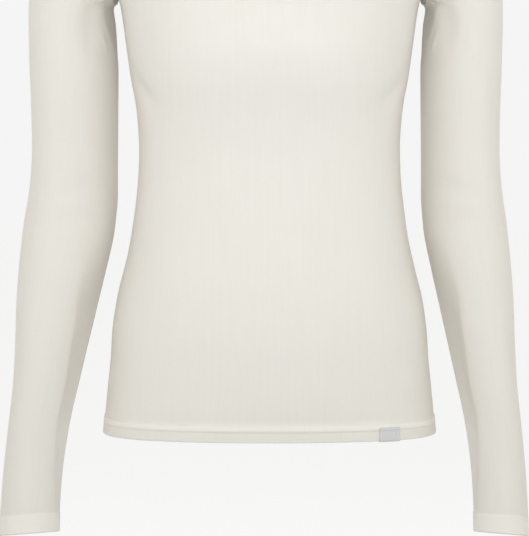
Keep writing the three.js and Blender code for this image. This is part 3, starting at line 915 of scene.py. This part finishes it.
def sewn(name, lines):
    """One mesh of the stitches along all these lines, each given with its ways out."""
    parts = [stitches_along(line, normals) for line, normals in lines]
    return stitch_mesh(name, *(np.concatenate(group) for group in zip(*parts)))


def stitches_along(line, normals):
    """Starts and ends of even stitches along a line of points."""
    steps = np.linalg.norm(np.diff(line, axis=0), axis=1)
    length = np.concatenate([[0], np.cumsum(steps)])
    begin = np.arange(STITCH["first"], length[-1] - STITCH["long"], STITCH["pitch"])

    def at(distance, values):
        return np.stack([np.interp(distance, length, values[:, k]) for k in range(3)], axis=-1)

    return at(begin, line), at(begin + STITCH["long"], line), at(begin, normals)


def panel_line(face, up):
    share = np.linspace(-1, 1, 500)
    base = trunk_points(face, up, share)
    normal = trunk_way_out(face, up, share)
    return base + normal * (hem_proud(up, share) - STITCH["sunk"])[:, None], normal


def cuff_line(sleeve, above):
    ring = limb_points(sleeve, LIMB_END + above, np.linspace(0, math.tau, 400))
    normal = unit(ring - ring.mean(axis=0))
    line = ring + normal * CUFF["double"]
    line[:, 0] *= sleeve["side"]
    normal[:, 0] *= sleeve["side"]
    return line, normal


def neck_line(up):
    line = neck_points(np.linspace(0, 1, 600), up)
    slope = line - neck_points(np.linspace(0, 1, 600), up - 2)
    return line, unit(np.cross(np.gradient(line, axis=0), slope))


stitching = [
    sewn("hem_stitching", [panel_line(face, up) for face in (-1, 1) for up in HEM_ROWS]),
    sewn("neck_stitching", [neck_line(UP_NECK - down) for down in NECK_ROWS]),
]
for sleeve in SLEEVES:
    rows = [cuff_line(sleeve, CUFF["height"] - down) for down in CUFF_ROWS]
    stitching.append(sewn(sleeve["name"] + "_cuff_stitching", rows))


# What each piece rides on and stands for
for piece in [front, back, neckband, label, *sleeves, *stitching]:
    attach(piece, "root")
for piece, node in [(front, "front"), (back, "back"), (neckband, "neckband"), (label, "hem_label")]:
    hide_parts(node)
for piece, sleeve in zip(sleeves, SLEEVES):
    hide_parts(sleeve["name"])


# The camera, the light and the ground


def make_camera():
    data = bpy.data.cameras.new("camera")
    data.sensor_width = SENSOR
    focus = DISTANCE / PIXEL
    data.lens = focus * SENSOR / FRAME_HEIGHT
    data.clip_end = 50
    camera = bpy.data.objects.new("camera", data)
    pitch = math.atan((MIDDLE_ROW - HORIZON_ROW) / focus)
    camera.location = (MIDDLE_X * MM, -DISTANCE * MM, EYE_HEIGHT * MM)
    camera.rotation_euler = (math.pi / 2 - pitch, 0, 0)
    bpy.context.collection.objects.link(camera)
    bpy.context.scene.camera = camera


def area_light(name, place, aim, size, power, colour):
    data = bpy.data.lights.new(name, "AREA")
    data.shape = "RECTANGLE"
    data.size, data.size_y = size
    data.energy = power
    data.color = colour
    light = bpy.data.objects.new(name, data)
    light.location = place
    way = np.array(aim, float) - np.array(place, float)
    flat = math.hypot(way[0], way[1])
    light.rotation_euler = (math.atan2(flat, -way[2]), 0, math.atan2(way[1], way[0]) - math.pi / 2)
    bpy.context.collection.objects.link(light)


def make_world():
    """An even pale surround: seen by the camera at one level, and lighting the cloth at another."""
    world = bpy.data.worlds.new("surround")
    bpy.context.scene.world = world
    world.use_nodes = True
    tree = world.node_tree
    tree.nodes.clear()
    path = add_node(tree, "ShaderNodeLightPath")
    tint = (*SURROUND["colour"], 1)
    cast = add_node(tree, "ShaderNodeBackground", {"Color": tint, "Strength": SURROUND["cast"]})
    white = (1, 1, 1, 1)
    seen = add_node(tree, "ShaderNodeBackground", {"Color": white, "Strength": SURROUND["seen"]})
    inputs = {0: path.outputs["Is Camera Ray"], 1: cast.outputs[0], 2: seen.outputs[0]}
    mix = add_node(tree, "ShaderNodeMixShader", inputs)
    add_node(tree, "ShaderNodeOutputWorld", {"Surface": mix.outputs[0]})


def make_ground():
    """A pale floor well below the cuffs that glows at the level of the surround, with a painted soft
    shadow where its glow is dimmed below the garment."""
    mesh = bpy.data.meshes.new("ground")
    half = GROUND["half"]
    corners = [(-half, -half), (half, -half), (half, half), (-half, half)]
    mesh.from_pydata([(x, y, GROUND["height"]) for x, y in corners], [], [(0, 1, 2, 3)])
    material, tree = new_material("glowing_ground_with_painted_shadow")
    place = add_node(tree, "ShaderNodeTexCoord").outputs["Object"]
    flat = add_node(tree, "ShaderNodeVectorMath", {0: place, 1: (1, 1, 0)}, operation="MULTIPLY")
    far_off = add_node(tree, "ShaderNodeVectorMath", {0: flat.outputs[0]}, operation="LENGTH")
    rise = {
        "Value": far_off.outputs["Value"],
        "From Min": GROUND["near_at"],
        "From Max": GROUND["far_at"],
        "To Min": GROUND["near"],
        "To Max": GROUND["far"],
    }
    # painted shadow: the floor's glow is dimmer close under the garment than far from it
    glow = add_node(tree, "ShaderNodeMapRange", rise, interpolation_type="SMOOTHSTEP")
    surfaced(
        tree,
        {
            "Base Color": (0.12, 0.12, 0.12, 1),
            "Roughness": 1,
            "Specular IOR Level": 0,
            "Emission Color": (1, 1, 1, 1),
            "Emission Strength": glow.outputs[0],
        },
    )
    mesh.materials.append(material)
    ground = bpy.data.objects.new("ground", mesh)
    bpy.context.collection.objects.link(ground)


bpy.context.scene.view_settings.view_transform = "Standard"
make_camera()
make_world()
make_ground()

# Lights on both sides, in metres, with their powers at the wearer's right and left
for side, power in ((-1, 6.2), (1, 5.8)):
    area_light(
        "broad",
        place=(1.9 * side, -1.5, 0.1),
        aim=(0, 0, -0.45),
        size=(1.4, 2.2),
        power=power,
        colour=(0.97, 1, 0.98),
    )
for side, power in ((-1, 5.6), (1, 7)):
    area_light(
        "beside",
        place=(2.4 * side, -0.35, 0),
        aim=(0, 0, -0.45),
        size=(1.2, 2),
        power=power,
        colour=(0.89, 0.91, 1),
    )
    area_light(
        "high",
        place=(1.4 * side, -1.3, 1.5),
        aim=(0, 0, -0.35),
        size=(1.2, 1.2),
        power=4.6,
        colour=(0.9, 0.94, 1),
    )
    area_light(
        "behind",
        place=(1.5 * side, 1.9, 0.3),
        aim=(0, 0, -0.35),
        size=(1.4, 2.2),
        power=12,
        colour=(0.97, 0.98, 1),
    )
area_light(
    "chest",
    place=(0, -0.95, -0.16),
    aim=(0, 0, -0.3),
    size=(0.3, 0.7),
    power=3.5,
    colour=(0.86, 0.89, 1),
)
